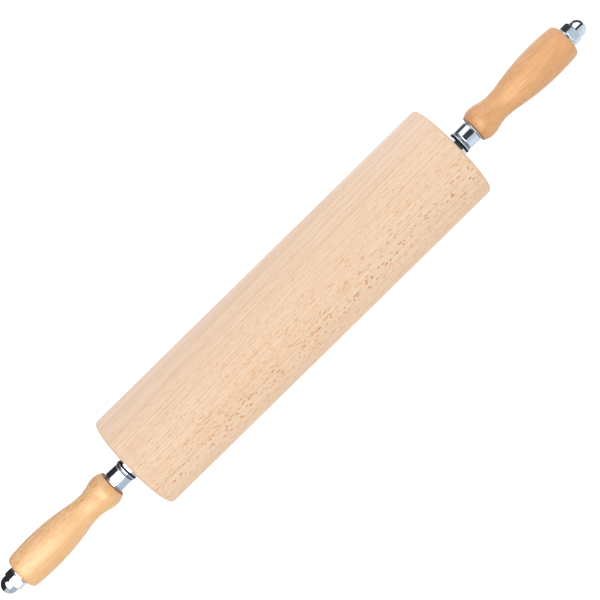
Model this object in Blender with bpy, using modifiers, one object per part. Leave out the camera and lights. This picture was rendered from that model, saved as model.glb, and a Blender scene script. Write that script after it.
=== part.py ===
"""A baker's rolling pin: a bored beech roller that turns on two ball bearings, on a steel axle.

The axle runs right through. At each end a lock nut holds the bearing, and a cap nut clamps a
turned handle, a chromed ferrule and their washers against that lock nut, so only the roller
and the bearings' balls and cages turn.

Lengths are metres. The pin lies along X, Z is up, and the origin is under its middle, on the
surface that the roller stands on. Each turned piece is drawn along its own Z, from the face
that is nearer the roller.
"""
import math

import bmesh
import bpy
from mathutils import Matrix

MM = 0.001

# Clearances
SEAT_GAP = 0.25 * MM      # between two faces that press on each other, end to end
FIT_GAP = 0.25 * MM       # between a shaft and its bore, or a piece and its pocket
BALL_GAP = 0.15 * MM      # between a ball and its grooves
POCKET_GAP = 0.2 * MM     # between a ball and its cage

# Roller
ROLLER_LENGTH = 400 * MM
ROLLER_DIAMETER = 100 * MM
ROLLER_EDGE = 3 * MM
ROLLER_BORE = 18 * MM

# Axle: plain between the bearings, thinner and threaded M10 outside them
AXLE_DIAMETER = 14 * MM
THREAD_DIAMETER = 10 * MM
THREAD_TIP = 1 * MM

# Bearing 6200: 10 x 30 x 9, eight balls, a shield on each side
BEARING_BORE = THREAD_DIAMETER
BEARING_DIAMETER = 30 * MM
BEARING_WIDTH = 9 * MM
BEARING_RECESS = 0.75 * MM
BALL_COUNT = 8
BALL_DIAMETER = 4.762 * MM
BALL_CIRCLE = (BEARING_BORE + BEARING_DIAMETER) / 2
GROOVE_RADIUS = BALL_DIAMETER / 2 + BALL_GAP
INNER_GROOVE_DEPTH = 0.731 * MM
OUTER_GROOVE_DEPTH = 0.531 * MM
INNER_SHOULDER = BALL_CIRCLE - 2 * (GROOVE_RADIUS - INNER_GROOVE_DEPTH)
OUTER_SHOULDER = BALL_CIRCLE + 2 * (GROOVE_RADIUS - OUTER_GROOVE_DEPTH)
RACE_CHAMFER = 0.4 * MM
SHIELD_THICKNESS = 0.4 * MM
SHIELD_INSET = 0.2 * MM
SHIELD_GRIP = 0.35 * MM   # how far a shield reaches into the outer race
SHIELD_CLEARANCE = 0.6 * MM
CAGE_RIM = 0.519 * MM     # beside each pocket
CAGE_WIDTH = BALL_DIAMETER + 2 * (POCKET_GAP + CAGE_RIM)
CAGE_THICKNESS = 1.3 * MM

# Pressed steel cup that holds the bearing in the wood
CUP_WALL = 1.5 * MM
CUP_FLOOR = 1.5 * MM
CUP_LIP = 0.5 * MM        # how far the cup stands past the bearing
CUP_HOLE = 20 * MM

# Hexagon nuts
HEX_FLATS = 18.4 * MM
HEX_CORNERS = HEX_FLATS / math.cos(math.pi / 6)
HEX_CHAMFER_ANGLE = math.radians(30)
HEX_CHAMFER_CIRCLE = 17.9 * MM
LOCK_NUT_HEIGHT = 8 * MM
CAP_HEX_HEIGHT = 8.6 * MM
CAP_HEIGHT = 20 * MM
DOME_DIAMETER = 17.4 * MM
CAP_BORE_DEPTH = 15 * MM
BORE_COUNTERSINK = 0.6 * MM
ROD_END_CLEARANCE = 0.8 * MM

# Washers and ferrule, from the roller outward
RUBBER_WASHER_DIAMETER = 21.8 * MM
RUBBER_WASHER_THICKNESS = 0.8 * MM
HUB_WASHER_DIAMETER = 22 * MM
HUB_WASHER_THICKNESS = 1.3 * MM
SPACER_WASHER_DIAMETER = 20.4 * MM
SPACER_WASHER_THICKNESS = 1.4 * MM
FERRULE_LENGTH = 12.6 * MM
FERRULE_INNER_END = 20 * MM
FERRULE_OUTER_END = 20.8 * MM
FERRULE_WALL = 1.5 * MM
FERRULE_EDGE = 0.7 * MM
HANDLE_WASHER_DIAMETER = 20.4 * MM
HANDLE_WASHER_THICKNESS = 1.1 * MM
END_WASHER_DIAMETER = 20.6 * MM
END_WASHER_THICKNESS = 2 * MM
WASHER_EDGE = 0.3 * MM

# Handle: radii, and their distances from its end nearer the roller
HANDLE_LENGTH = 114.6 * MM
NECK_RADIUS = 13.8 * MM
NECK_EDGE = 0.6 * MM
BULB_RADIUS = 16.25 * MM
BULB_AT = 9.6 * MM
WAIST_RADIUS = 12.95 * MM
WAIST_AT = 29.3 * MM
GRIP_RADIUS = 18.75 * MM
GRIP_AT = 89.8 * MM
GRIP_LEAN = 0.72          # under 1 the grip swells sooner after the waist
HEEL_RADIUS = 17.75 * MM
HEEL_EDGE = 3.3 * MM

# How far each hexagon's corner is turned up from straight sideways, in degrees
LOCK_NUT_TURN = {"left": -3, "right": 4}
CAP_NUT_TURN = {"left": 15, "right": 10.5}

# How far a cutter runs past the face that it cuts
OVERSHOOT = 1 * MM

# Flats around a turned piece, and the least bend between two faces that stays a sharp edge
ROLLER_STEPS = 72
HANDLE_STEPS = 36
METAL_STEPS = 32
BEARING_STEPS = 24
POCKET_STEPS = 12
SHARP_ANGLE = math.radians(32)

# A flat of the roller lies on the ground, so its axis is a little lower than its radius
AXIS_HEIGHT = ROLLER_DIAMETER / 2 * math.cos(math.pi / ROLLER_STEPS)

SIDES = {"left": -1, "right": 1}

# Colour, roughness and metallic value
RAW_BEECH = ((0.80, 0.58, 0.40), 0.65, 0.0)
LACQUERED_BEECH = ((0.74, 0.42, 0.17), 0.35, 0.0)
CHROME = ((0.80, 0.81, 0.83), 0.08, 1.0)
TURNED_STEEL = ((0.55, 0.55, 0.56), 0.35, 1.0)
BEARING_STEEL = ((0.62, 0.62, 0.64), 0.2, 1.0)
BLACK_RUBBER = ((0.02, 0.02, 0.02), 0.6, 0.0)


def arc(centre, size, start, stop, count):
    """Points of a circle about centre, as (radius, height), from start to stop degrees.

    Zero degrees is straight outward and 90 is up.
    """
    points = []
    for step in range(count + 1):
        angle = math.radians(start + (stop - start) * step / count)
        points.append((centre[0] + size * math.cos(angle), centre[1] + size * math.sin(angle)))
    return points


def swell(start, stop, share, count):
    """Points after start and up to stop, whose radius changes by share(0 to 1) of the whole."""
    points = []
    for step in range(1, count + 1):
        along = step / count
        radius = start[0] + (stop[0] - start[0]) * share(along)
        points.append((radius, start[1] + (stop[1] - start[1]) * along))
    return points


def mirrored(upper):
    """An outline that goes up its bore and down its outside, from the half above height 0."""
    lower = [(radius, -height) for radius, height in reversed(upper)]
    return upper + lower


def washer_outline(bore, diameter, thickness, edge):
    radius = diameter / 2
    return [
        (bore / 2, 0),
        (bore / 2, thickness),
        (radius - edge, thickness),
        (radius, thickness - edge),
        (radius, edge),
        (radius - edge, 0),
    ]


def roller_outline():
    end = ROLLER_LENGTH / 2
    pocket = BEARING_DIAMETER / 2 + CUP_WALL + 2 * FIT_GAP
    floor = cup_station() - SEAT_GAP
    corner = (ROLLER_DIAMETER / 2 - ROLLER_EDGE, end - ROLLER_EDGE)
    return mirrored([
        (ROLLER_BORE / 2, floor),
        (pocket, floor),
        (pocket, end),
        *arc(corner, ROLLER_EDGE, 90, 0, 3),
    ])


def axle_outline():
    tip = stations()["cap_nut"] + CAP_BORE_DEPTH - ROD_END_CLEARANCE
    shoulder = bearing_middle() - BEARING_WIDTH / 2 - SEAT_GAP
    thread = THREAD_DIAMETER / 2 - FIT_GAP
    return mirrored([
        (0, tip),
        (thread - THREAD_TIP, tip),
        (thread, tip - THREAD_TIP),
        (thread, shoulder),
        (AXLE_DIAMETER / 2, shoulder),
    ])


def cup_outline():
    inside = BEARING_DIAMETER / 2 + FIT_GAP
    outside = inside + CUP_WALL
    height = CUP_FLOOR + SEAT_GAP + BEARING_WIDTH + CUP_LIP
    return [
        (CUP_HOLE / 2, 0),
        (CUP_HOLE / 2, CUP_FLOOR),
        (inside, CUP_FLOOR),
        (inside, height),
        (outside, height),
        (outside, CUP_FLOOR / 2),
        (outside - CUP_FLOOR / 2, 0),
    ]


def groove(shoulder, towards):
    """The ball groove in a race's shoulder, towards 180 degrees in the inner race and 0 in the outer."""
    half = math.degrees(math.acos(abs(BALL_CIRCLE - shoulder) / 2 / GROOVE_RADIUS))
    return arc((BALL_CIRCLE / 2, 0), GROOVE_RADIUS, towards - half, towards + half, 4)


def inner_race_outline():
    half = BEARING_WIDTH / 2
    bore = BEARING_BORE / 2
    shoulder = INNER_SHOULDER / 2
    return [
        (bore + RACE_CHAMFER, -half),
        (bore, RACE_CHAMFER - half),
        (bore, half - RACE_CHAMFER),
        (bore + RACE_CHAMFER, half),
        (shoulder, half),
        *groove(INNER_SHOULDER, 180),
        (shoulder, -half),
    ]


def shield_seat():
    """The radius and the depth of the step in the outer race that takes a shield."""
    return OUTER_SHOULDER / 2 + SHIELD_GRIP + FIT_GAP, SHIELD_INSET + SHIELD_THICKNESS + FIT_GAP


def outer_race_outline():
    half = BEARING_WIDTH / 2
    outside = BEARING_DIAMETER / 2
    shoulder = OUTER_SHOULDER / 2
    seat, depth = shield_seat()
    return [
        (seat, -half),
        (seat, depth - half),
        (shoulder, depth - half),
        *groove(OUTER_SHOULDER, 0),
        (shoulder, half - depth),
        (seat, half - depth),
        (seat, half),
        (outside - RACE_CHAMFER, half),
        (outside, half - RACE_CHAMFER),
        (outside, RACE_CHAMFER - half),
        (outside - RACE_CHAMFER, -half),
    ]


def shield_outline():
    bore = INNER_SHOULDER + 2 * SHIELD_CLEARANCE
    return [
        (bore / 2, 0),
        (bore / 2, SHIELD_THICKNESS),
        (OUTER_SHOULDER / 2 + SHIELD_GRIP, SHIELD_THICKNESS),
        (OUTER_SHOULDER / 2 + SHIELD_GRIP, 0),
    ]


def cage_outline():
    middle = BALL_CIRCLE / 2
    return mirrored([
        (middle - CAGE_THICKNESS / 2, CAGE_WIDTH / 2),
        (middle + CAGE_THICKNESS / 2, CAGE_WIDTH / 2),
    ])


def ferrule_outline():
    inner = FERRULE_INNER_END / 2
    outer = FERRULE_OUTER_END / 2
    top = FERRULE_LENGTH - FERRULE_EDGE
    return [
        (inner - FERRULE_WALL, 0),
        (outer - FERRULE_WALL, FERRULE_LENGTH),
        *arc((outer - FERRULE_EDGE, top), FERRULE_EDGE, 90, 0, 2),
        *arc((inner - FERRULE_EDGE, FERRULE_EDGE), FERRULE_EDGE, 0, -90, 2),
    ]


def handle_outline():
    neck = (NECK_RADIUS, NECK_EDGE)
    bulb = (BULB_RADIUS, BULB_AT)
    waist = (WAIST_RADIUS, WAIST_AT)
    grip = (GRIP_RADIUS, GRIP_AT)
    heel = (HEEL_RADIUS, HANDLE_LENGTH - HEEL_EDGE)
    outside = [(NECK_RADIUS - NECK_EDGE, 0), neck]
    outside += swell(neck, bulb, lambda along: math.sin(math.pi / 2 * along), 3)
    outside += swell(bulb, waist, lambda along: math.sin(math.pi / 2 * along) ** 2, 5)
    outside += swell(waist, grip, lambda along: math.sin(math.pi / 2 * along ** GRIP_LEAN) ** 2, 7)
    outside += swell(grip, heel, lambda along: 1 - math.cos(math.pi / 2 * along), 3)
    outside += reversed(arc((HEEL_RADIUS - HEEL_EDGE, heel[1]), HEEL_EDGE, 90, 0, 3)[:-1])
    return [
        (THREAD_DIAMETER / 2, 0),
        (THREAD_DIAMETER / 2, HANDLE_LENGTH),
        *reversed(outside),
    ]


def bearing_middle():
    """How far each bearing's middle is from the pin's."""
    return ROLLER_LENGTH / 2 - BEARING_RECESS - BEARING_WIDTH / 2


def cup_station():
    return bearing_middle() - BEARING_WIDTH / 2 - SEAT_GAP - CUP_FLOOR


def stations():
    """Where each clamped piece starts, from the pin's middle: they follow each other outward."""
    lengths = {
        "lock_nut": LOCK_NUT_HEIGHT,
        "rubber_washer": RUBBER_WASHER_THICKNESS,
        "hub_washer": HUB_WASHER_THICKNESS,
        "spacer_washer": SPACER_WASHER_THICKNESS,
        "ferrule": FERRULE_LENGTH,
        "handle_washer": HANDLE_WASHER_THICKNESS,
        "handle": HANDLE_LENGTH,
        "end_washer": END_WASHER_THICKNESS,
        "cap_nut": CAP_HEIGHT,
    }
    start = bearing_middle() + BEARING_WIDTH / 2 + SEAT_GAP
    places = {}
    for name, length in lengths.items():
        places[name] = start
        start += length + SEAT_GAP
    return places


def new_object(name, mesh, collection):
    obj = bpy.data.objects.new(name, mesh)
    collection.objects.link(obj)
    return obj


def turned(name, outline, steps, collection):
    """Sweeps an outline of (radius, height) points about Z. It goes down its outside.

    An outline that starts and ends on the axis makes a solid piece, and any other a ring.
    """
    count = len(outline)
    loop = count if outline[0][0] > 0 else count - 1
    mesh = bpy.data.meshes.new(name)
    points = [(radius, 0, height) for radius, height in outline]
    mesh.from_pydata(points, [(point, (point + 1) % count) for point in range(loop)], [])
    obj = new_object(name, mesh, collection)
    screw = obj.modifiers.new("turn", "SCREW")
    screw.axis = "Z"
    screw.steps = steps
    screw.render_steps = steps
    screw.use_merge_vertices = True
    screw.merge_threshold = 0.00001
    return obj


def hexagon(name, height, collection):
    """A hexagon bar from height 0 up, with a corner towards its own +Y."""
    shape = bmesh.new()
    bmesh.ops.create_cone(
        shape,
        cap_ends=True,
        segments=6,
        radius1=HEX_CORNERS / 2,
        radius2=HEX_CORNERS / 2,
        depth=height,
        matrix=Matrix.Translation((0, 0, height / 2)),
    )
    mesh = bpy.data.meshes.new(name)
    shape.to_mesh(mesh)
    shape.free()
    return new_object(name, mesh, collection)


def chamfer_outline(height):
    """The barrel that a hexagon nut of this height is turned down to, which rounds off its corners."""
    slope = math.tan(HEX_CHAMFER_ANGLE)
    face = HEX_CHAMFER_CIRCLE / 2
    widest = HEX_CORNERS / 2 + OVERSHOOT
    drop = (widest - face) * slope
    end = face - OVERSHOOT / slope
    return [
        (0, height + OVERSHOOT),
        (end, height + OVERSHOOT),
        (widest, height - drop),
        (widest, drop),
        (end, -OVERSHOOT),
        (0, -OVERSHOOT),
    ]


def bore_outline(depth, blind):
    """A thread's hole up from height 0, countersunk at each open end."""
    radius = THREAD_DIAMETER / 2
    mouth = radius + BORE_COUNTERSINK
    if blind:
        top = [(0, depth), (radius, depth)]
    else:
        past = depth + OVERSHOOT
        top = [(0, past), (mouth, past), (mouth, depth), (radius, depth - BORE_COUNTERSINK)]
    return top + [(radius, BORE_COUNTERSINK), (mouth, 0), (mouth, -OVERSHOOT), (0, -OVERSHOOT)]


def dome_outline():
    size = DOME_DIAMETER / 2
    root = CAP_HEX_HEIGHT / 2
    return [
        (0, CAP_HEIGHT),
        *arc((0, CAP_HEIGHT - size), size, 90, 0, 6)[1:],
        (size, root),
        (0, root),
    ]


def combine(obj, operation, other):
    """Adds a Boolean modifier. The other object is only a cutter, or is joined in."""
    modifier = obj.modifiers.new(other.name, "BOOLEAN")
    modifier.operation = operation
    modifier.object = other
    other.hide_render = True
    other.display_type = "WIRE"


def settled(obj):
    """The modifiers' result as a mesh, shaded smooth up to its sharp edges. The object goes."""
    bpy.context.view_layer.update()
    graph = bpy.context.evaluated_depsgraph_get()
    mesh = bpy.data.meshes.new_from_object(obj.evaluated_get(graph))
    mesh.shade_smooth()
    mesh.set_sharp_from_angle(angle=SHARP_ANGLE)
    bpy.data.objects.remove(obj)
    return mesh


def lock_nut(cutters):
    nut = hexagon("lock_nut", LOCK_NUT_HEIGHT, cutters)
    barrel = turned("lock_nut_barrel", chamfer_outline(LOCK_NUT_HEIGHT), METAL_STEPS, cutters)
    bore = turned("lock_nut_bore", bore_outline(LOCK_NUT_HEIGHT, blind=False), METAL_STEPS, cutters)
    combine(nut, "INTERSECT", barrel)
    combine(nut, "DIFFERENCE", bore)
    return settled(nut)


def cap_nut(cutters):
    nut = hexagon("cap_nut", CAP_HEX_HEIGHT, cutters)
    barrel = turned("cap_nut_barrel", chamfer_outline(CAP_HEX_HEIGHT), METAL_STEPS, cutters)
    dome = turned("cap_nut_dome", dome_outline(), METAL_STEPS, cutters)
    bore = turned("cap_nut_bore", bore_outline(CAP_BORE_DEPTH, blind=True), METAL_STEPS, cutters)
    combine(nut, "INTERSECT", barrel)
    combine(nut, "UNION", dome)
    combine(nut, "DIFFERENCE", bore)
    return settled(nut)


def ball_turns():
    """Each ball's turn about the bearing's axis."""
    return [2 * math.pi * ball / BALL_COUNT for ball in range(BALL_COUNT)]


def ball_mesh():
    shape = bmesh.new()
    bmesh.ops.create_icosphere(shape, subdivisions=2, radius=BALL_DIAMETER / 2)
    mesh = bpy.data.meshes.new("ball")
    shape.to_mesh(mesh)
    shape.free()
    mesh.shade_smooth()
    return mesh


def pocket_cutter(cutters):
    """One short radial drill for each ball."""
    shape = bmesh.new()
    size = BALL_DIAMETER / 2 + POCKET_GAP
    outward = Matrix.Translation((BALL_CIRCLE / 2, 0, 0)) @ Matrix.Rotation(math.pi / 2, 4, "Y")
    for turn in ball_turns():
        bmesh.ops.create_cone(
            shape,
            cap_ends=True,
            segments=POCKET_STEPS,
            radius1=size,
            radius2=size,
            depth=3 * CAGE_THICKNESS,
            matrix=Matrix.Rotation(turn, 4, "Z") @ outward,
        )
    mesh = bpy.data.meshes.new("cage_pockets")
    shape.to_mesh(mesh)
    shape.free()
    return new_object("cage_pockets", mesh, cutters)


def cage(cutters):
    ring = turned("bearing_cage", cage_outline(), BEARING_STEPS, cutters)
    combine(ring, "DIFFERENCE", pocket_cutter(cutters))
    return settled(ring)


def finish(name, colour, roughness, metallic):
    material = bpy.data.materials.new(name)
    material.use_nodes = True
    shader = material.node_tree.nodes["Principled BSDF"]
    shader.inputs["Base Color"].default_value = (*colour, 1)
    shader.inputs["Roughness"].default_value = roughness
    shader.inputs["Metallic"].default_value = metallic
    material.diffuse_color = (*colour, 1)
    return material


def frame(name, along, collection):
    """An empty on the pin's axis, about which what it carries turns."""
    empty = new_object(name, None, collection)
    empty.location = (along, 0, AXIS_HEIGHT)
    empty.empty_display_size = ROLLER_DIAMETER
    return empty


def put(name, mesh, look, carrier, along=0, side="right", turn=0, out=0):
    """Sets a piece on the pin's axis, its own Z outward, or further out along its own X.

    It is first turned about that axis.
    """
    sign = SIDES[side]
    obj = new_object(name, mesh, carrier.users_collection[0])
    obj.parent = carrier
    obj.location = (sign * along - carrier.location.x, out * math.sin(turn), -sign * out * math.cos(turn))
    obj.rotation_mode = "ZYX"
    obj.rotation_euler = (0, sign * math.pi / 2, turn)
    if not mesh.materials:
        mesh.materials.append(None)
    slot = obj.material_slots[0]
    slot.link = "OBJECT"
    slot.material = finish(name, *look)


def washer(name, diameter, thickness, collection):
    outline = washer_outline(THREAD_DIAMETER, diameter, thickness, WASHER_EDGE)
    return settled(turned(name, outline, METAL_STEPS, collection))


def clamped_pieces(cutters):
    """Each piece that the cap nuts clamp on the axle: its mesh and its look."""
    handle = turned("handle", handle_outline(), HANDLE_STEPS, cutters)
    ferrule = turned("ferrule", ferrule_outline(), METAL_STEPS, cutters)
    washers = {
        "rubber_washer": (RUBBER_WASHER_DIAMETER, RUBBER_WASHER_THICKNESS, BLACK_RUBBER),
        "hub_washer": (HUB_WASHER_DIAMETER, HUB_WASHER_THICKNESS, CHROME),
        "spacer_washer": (SPACER_WASHER_DIAMETER, SPACER_WASHER_THICKNESS, CHROME),
        "handle_washer": (HANDLE_WASHER_DIAMETER, HANDLE_WASHER_THICKNESS, CHROME),
        "end_washer": (END_WASHER_DIAMETER, END_WASHER_THICKNESS, CHROME),
    }
    pieces = {
        "lock_nut": (lock_nut(cutters), CHROME),
        "ferrule": (settled(ferrule), CHROME),
        "handle": (settled(handle), LACQUERED_BEECH),
        "cap_nut": (cap_nut(cutters), CHROME),
    }
    for name, (diameter, thickness, look) in washers.items():
        pieces[name] = (washer(name, diameter, thickness, cutters), look)
    return pieces


def main():
    for old in list(bpy.data.objects):
        bpy.data.objects.remove(old)
    parts = bpy.data.collections.new("rolling_pin")
    cutters = bpy.data.collections.new("rolling_pin_cutters")
    bpy.context.scene.collection.children.link(parts)
    bpy.context.scene.collection.children.link(cutters)

    axle_frame = frame("axle_frame", 0, parts)
    roller_frame = frame("roller_frame", 0, parts)

    roller = settled(turned("roller", roller_outline(), ROLLER_STEPS, cutters))
    axle = settled(turned("axle_rod", axle_outline(), METAL_STEPS, cutters))
    put("roller", roller, RAW_BEECH, roller_frame, turn=math.pi / ROLLER_STEPS)
    put("axle_rod", axle, TURNED_STEEL, axle_frame)

    cup = settled(turned("bearing_cup", cup_outline(), BEARING_STEPS, cutters))
    inner_race = settled(turned("inner_race", inner_race_outline(), BEARING_STEPS, cutters))
    outer_race = settled(turned("outer_race", outer_race_outline(), BEARING_STEPS, cutters))
    shield = settled(turned("shield", shield_outline(), BEARING_STEPS, cutters))
    ball = ball_mesh()
    cage_ring = cage(cutters)
    clamped = clamped_pieces(cutters)
    places = stations()

    middle = bearing_middle()
    face = BEARING_WIDTH / 2
    outer_shield = middle + face - SHIELD_INSET - SHIELD_THICKNESS
    inner_shield = middle - face + SHIELD_INSET
    for side, sign in SIDES.items():
        cage_frame = frame(f"{side}_cage_frame", sign * middle, parts)
        turning = {
            "bearing_cup": (cup, TURNED_STEEL, roller_frame, cup_station()),
            "bearing_outer_race": (outer_race, BEARING_STEEL, roller_frame, middle),
            "bearing_outer_shield": (shield, BEARING_STEEL, roller_frame, outer_shield),
            "bearing_inner_shield": (shield, BEARING_STEEL, roller_frame, inner_shield),
            "bearing_cage": (cage_ring, TURNED_STEEL, cage_frame, middle),
            "bearing_inner_race": (inner_race, BEARING_STEEL, axle_frame, middle),
        }
        for name, (mesh, look, carrier, along) in turning.items():
            put(f"{side}_{name}", mesh, look, carrier, along, side)
        for number, turn in enumerate(ball_turns(), 1):
            name = f"{side}_bearing_ball_{number}"
            put(name, ball, BEARING_STEEL, cage_frame, middle, side, turn, BALL_CIRCLE / 2)
        turns = {
            "lock_nut": sign * math.radians(LOCK_NUT_TURN[side]),
            "cap_nut": sign * math.radians(CAP_NUT_TURN[side]),
        }
        for name, (mesh, look) in clamped.items():
            put(f"{side}_{name}", mesh, look, axle_frame, places[name], side, turns.get(name, 0))


main()
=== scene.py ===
# %% [markdown]
# # Dressing a baker's rolling pin
# A baker's pin is a heavy beech roller that spins on two ball bearings, with a turned beech handle
# clamped on each end of one long steel axle. The solids already say where every piece is and how
# it turns. This lesson gives each piece that shows a finer shape and a finish of its own, then
# lights it like a catalogue picture.
# We start by loading the solids, because every new piece is measured against them.

# %% Load the pin
import math

import bmesh
import bpy
from mathutils import Matrix, Vector


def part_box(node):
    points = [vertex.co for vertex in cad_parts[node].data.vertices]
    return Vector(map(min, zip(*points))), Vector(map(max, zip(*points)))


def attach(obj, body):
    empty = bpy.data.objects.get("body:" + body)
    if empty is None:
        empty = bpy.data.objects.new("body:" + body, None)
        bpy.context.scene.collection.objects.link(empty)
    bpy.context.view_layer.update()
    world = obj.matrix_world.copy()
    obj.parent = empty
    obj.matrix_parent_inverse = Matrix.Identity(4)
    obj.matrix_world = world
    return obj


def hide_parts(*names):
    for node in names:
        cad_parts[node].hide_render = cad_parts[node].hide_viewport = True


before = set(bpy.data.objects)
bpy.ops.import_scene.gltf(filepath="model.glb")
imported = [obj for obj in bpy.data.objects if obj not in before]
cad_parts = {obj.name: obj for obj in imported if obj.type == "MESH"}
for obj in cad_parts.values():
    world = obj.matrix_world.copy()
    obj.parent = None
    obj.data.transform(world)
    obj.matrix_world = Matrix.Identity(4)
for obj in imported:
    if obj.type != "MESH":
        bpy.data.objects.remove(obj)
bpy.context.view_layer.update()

MM = 0.001
SIDES = {"left": -1, "right": 1}


# %% [markdown]
# ## Where things are
# Everything on this pin is round and shares one axis, so a piece needs only two facts: where it
# starts and where it ends along that axis. We read both from the solid that it stands for, as
# distances from the middle of the pin outward. A new piece then fills exactly the room that its
# solid had, whichever end it is on.

# %% The axis, and the room of each piece along it
low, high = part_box("roller")
AXIS = (low[2] + high[2]) / 2
ROLLER_RADIUS = (high[2] - low[2]) / 2
ROLLER_END = high[0]


def room(node):
    """Where a solid starts and ends, outward from the pin's middle, and its largest radius."""
    near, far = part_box(node)
    ends = sorted((abs(near[0]), abs(far[0])))
    return ends[0], ends[1], (far[2] - near[2]) / 2


print("axis", round(AXIS / MM, 2), "mm up, roller radius", round(ROLLER_RADIUS / MM, 2), "mm")

# %% [markdown]
# ## Drawing an outline
# A lathe makes a round piece by moving a tool along an outline while the wood or the steel turns.
# We can do the same: draw half of the section as a list of points, each a radius and a height, and
# sweep it round.
# Real edges are never quite sharp. Giving each corner a small radius costs a few points and pays
# at once, because a rounded edge catches the light as a thin bright line.

# %% Rounded corners in an outline
ROUNDING_STEPS = 6
LARGEST_SHARE = 0.38
GUARD = 1.2


def softened(corners):
    """A closed outline from (radius, height, rounding) corners.

    Each rounding is how far it cuts its corner back, up to the largest share of a side. A guard
    point just beyond each end of it keeps the straight part straight under smooth shading.
    """
    points = []
    for number, (radius, height, rounding) in enumerate(corners):
        here = Vector((radius, height))
        if rounding == 0:
            points.append(here)
            continue
        before = Vector(corners[number - 1][:2]) - here
        after = Vector(corners[(number + 1) % len(corners)][:2]) - here
        start = here + before.normalized() * min(rounding, before.length * LARGEST_SHARE)
        stop = here + after.normalized() * min(rounding, after.length * LARGEST_SHARE)
        points.append(here + (start - here) * GUARD)
        for step in range(ROUNDING_STEPS + 1):
            along = step / ROUNDING_STEPS
            bend = here * 2 * along * (1 - along)
            points.append(start * (1 - along) ** 2 + bend + stop * along ** 2)
        points.append(here + (stop - here) * GUARD)
    return [(point.x, point.y) for point in points]


# %% A flowing line through measured points
def flowing(knots, count):
    """Points on a smooth line through the knots, with count steps from each knot to the next."""
    line = []
    for number in range(len(knots) - 1):
        first, second = Vector(knots[number]), Vector(knots[number + 1])
        before = Vector(knots[number - 1]) if number else 2 * first - second
        after = Vector(knots[number + 2]) if number + 2 < len(knots) else 2 * second - first
        for step in range(count):
            t = step / count
            line.append(0.5 * (
                2 * first
                + (second - before) * t
                + (2 * before - 5 * first + 4 * second - after) * t ** 2
                + (3 * first - before - 3 * second + after) * t ** 3
            ))
    line.append(Vector(knots[-1]))
    return [(point.x, point.y) for point in line]


# %% [markdown]
# ## The lathe
# One function sweeps any outline round. The radius of each point can also be limited by a shape
# that isn't round: a nut is a bar with six flats that has been turned, so at every angle its
# radius is the smaller of the turned outline and the hexagon. Taking a slightly blended minimum
# instead of the plain one breaks the sharp corners, as tumbling does to real nuts. Doing it this
# way needs no Boolean, so the faces stay in neat rows.

# %% The smaller of two shapes, and a hexagon
def blended_minimum(first, second, blend):
    """The smaller of two lengths, eased where they are within blend of each other."""
    share = min(1, max(0, 0.5 + 0.5 * (second - first) / blend))
    return second + (first - second) * share - blend * share * (1 - share)


def hexagon_radius(angle, flats, blend):
    """How far a hexagon's side is from its middle at this angle. A corner is at angle 0."""
    turn = (angle + math.pi / 6) % (math.pi / 3) - math.pi / 6
    here = flats / 2 / math.cos(math.pi / 6 - turn)
    other = flats / 2 / math.cos(math.pi / 6 + turn)
    return blended_minimum(here, other, blend)


# %% Sweep an outline into a mesh
SHARP_ANGLE = math.radians(38)
ON_THE_AXIS = 1e-7


def ring_of_points(shape, radius, height, steps, limit):
    """One point of the outline swept round, or a single vertex where it lies on the axis."""
    if radius < ON_THE_AXIS:
        return [shape.verts.new((0, 0, height))]
    ring = []
    for step in range(steps):
        angle = 2 * math.pi * step / steps
        reach = limit(radius, angle) if limit else radius
        ring.append(shape.verts.new((reach * math.cos(angle), reach * math.sin(angle), height)))
    return ring


def swept(name, outline, steps, limit=None):
    """A mesh made by sweeping (radius, height) points about Z.

    An outline that starts and ends on the axis makes a solid piece, and any other is closed into
    a loop. Limit gives the radius at an angle, for pieces that aren't round.
    """
    shape = bmesh.new()
    rings = [ring_of_points(shape, radius, height, steps, limit) for radius, height in outline]
    loop = len(rings[0]) > 1
    for number in range(len(rings) if loop else len(rings) - 1):
        lower, upper = rings[number], rings[(number + 1) % len(rings)]
        for step in range(steps):
            after = (step + 1) % steps
            if len(lower) == 1:
                shape.faces.new((lower[0], upper[after], upper[step]))
            elif len(upper) == 1:
                shape.faces.new((lower[step], lower[after], upper[0]))
            else:
                shape.faces.new((lower[step], lower[after], upper[after], upper[step]))
    bmesh.ops.recalc_face_normals(shape, faces=shape.faces)
    mesh = bpy.data.meshes.new(name)
    shape.to_mesh(mesh)
    shape.free()
    mesh.shade_smooth()
    mesh.set_sharp_from_angle(angle=SHARP_ANGLE)
    return mesh


# %% [markdown]
# ## Putting a piece on the axle
# Each outline is drawn standing up, from the face nearer the roller. To fit a piece we lay it
# along the pin, with its own Z pointing outward, and slide it to its start. The move goes into the
# mesh and not onto the object, so that the object's own coordinates stay those of the whole pin.
# The wood grain, which is a pattern in space, needs that.

# %% Let a piece stand for its solid
dressed = []


def dressed_piece(node, mesh, body, look):
    """A piece made from a mesh that is in place already, which stands for its solid."""
    mesh.materials.append(look)
    piece = bpy.data.objects.new(f"{node}_dressed", mesh)
    bpy.context.scene.collection.objects.link(piece)
    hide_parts(node)
    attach(piece, body)
    dressed.append(piece)


def fitted(node, mesh, body, look, start, turn=0.0):
    """Lays a mesh along the pin, turned about the axis by turn, from start outward."""
    side = SIDES.get(node.split("_")[0], 1)
    lay = Matrix.Rotation(turn, 4, "X") @ Matrix.Rotation(side * math.pi / 2, 4, "Y")
    mesh.transform(Matrix.Translation((side * start, 0, AXIS)) @ lay)
    dressed_piece(node, mesh, body, look)


# %% [markdown]
# ## Shader sums in plain Python
# A node material is a drawing of a sum, and a long one is hard to read. So we wrap a socket in a
# small class whose operators add the node that works them out. Then `1 - mask` is written as it is
# said. Plain numbers meet plain numbers in Python, before any node is made.

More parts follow.
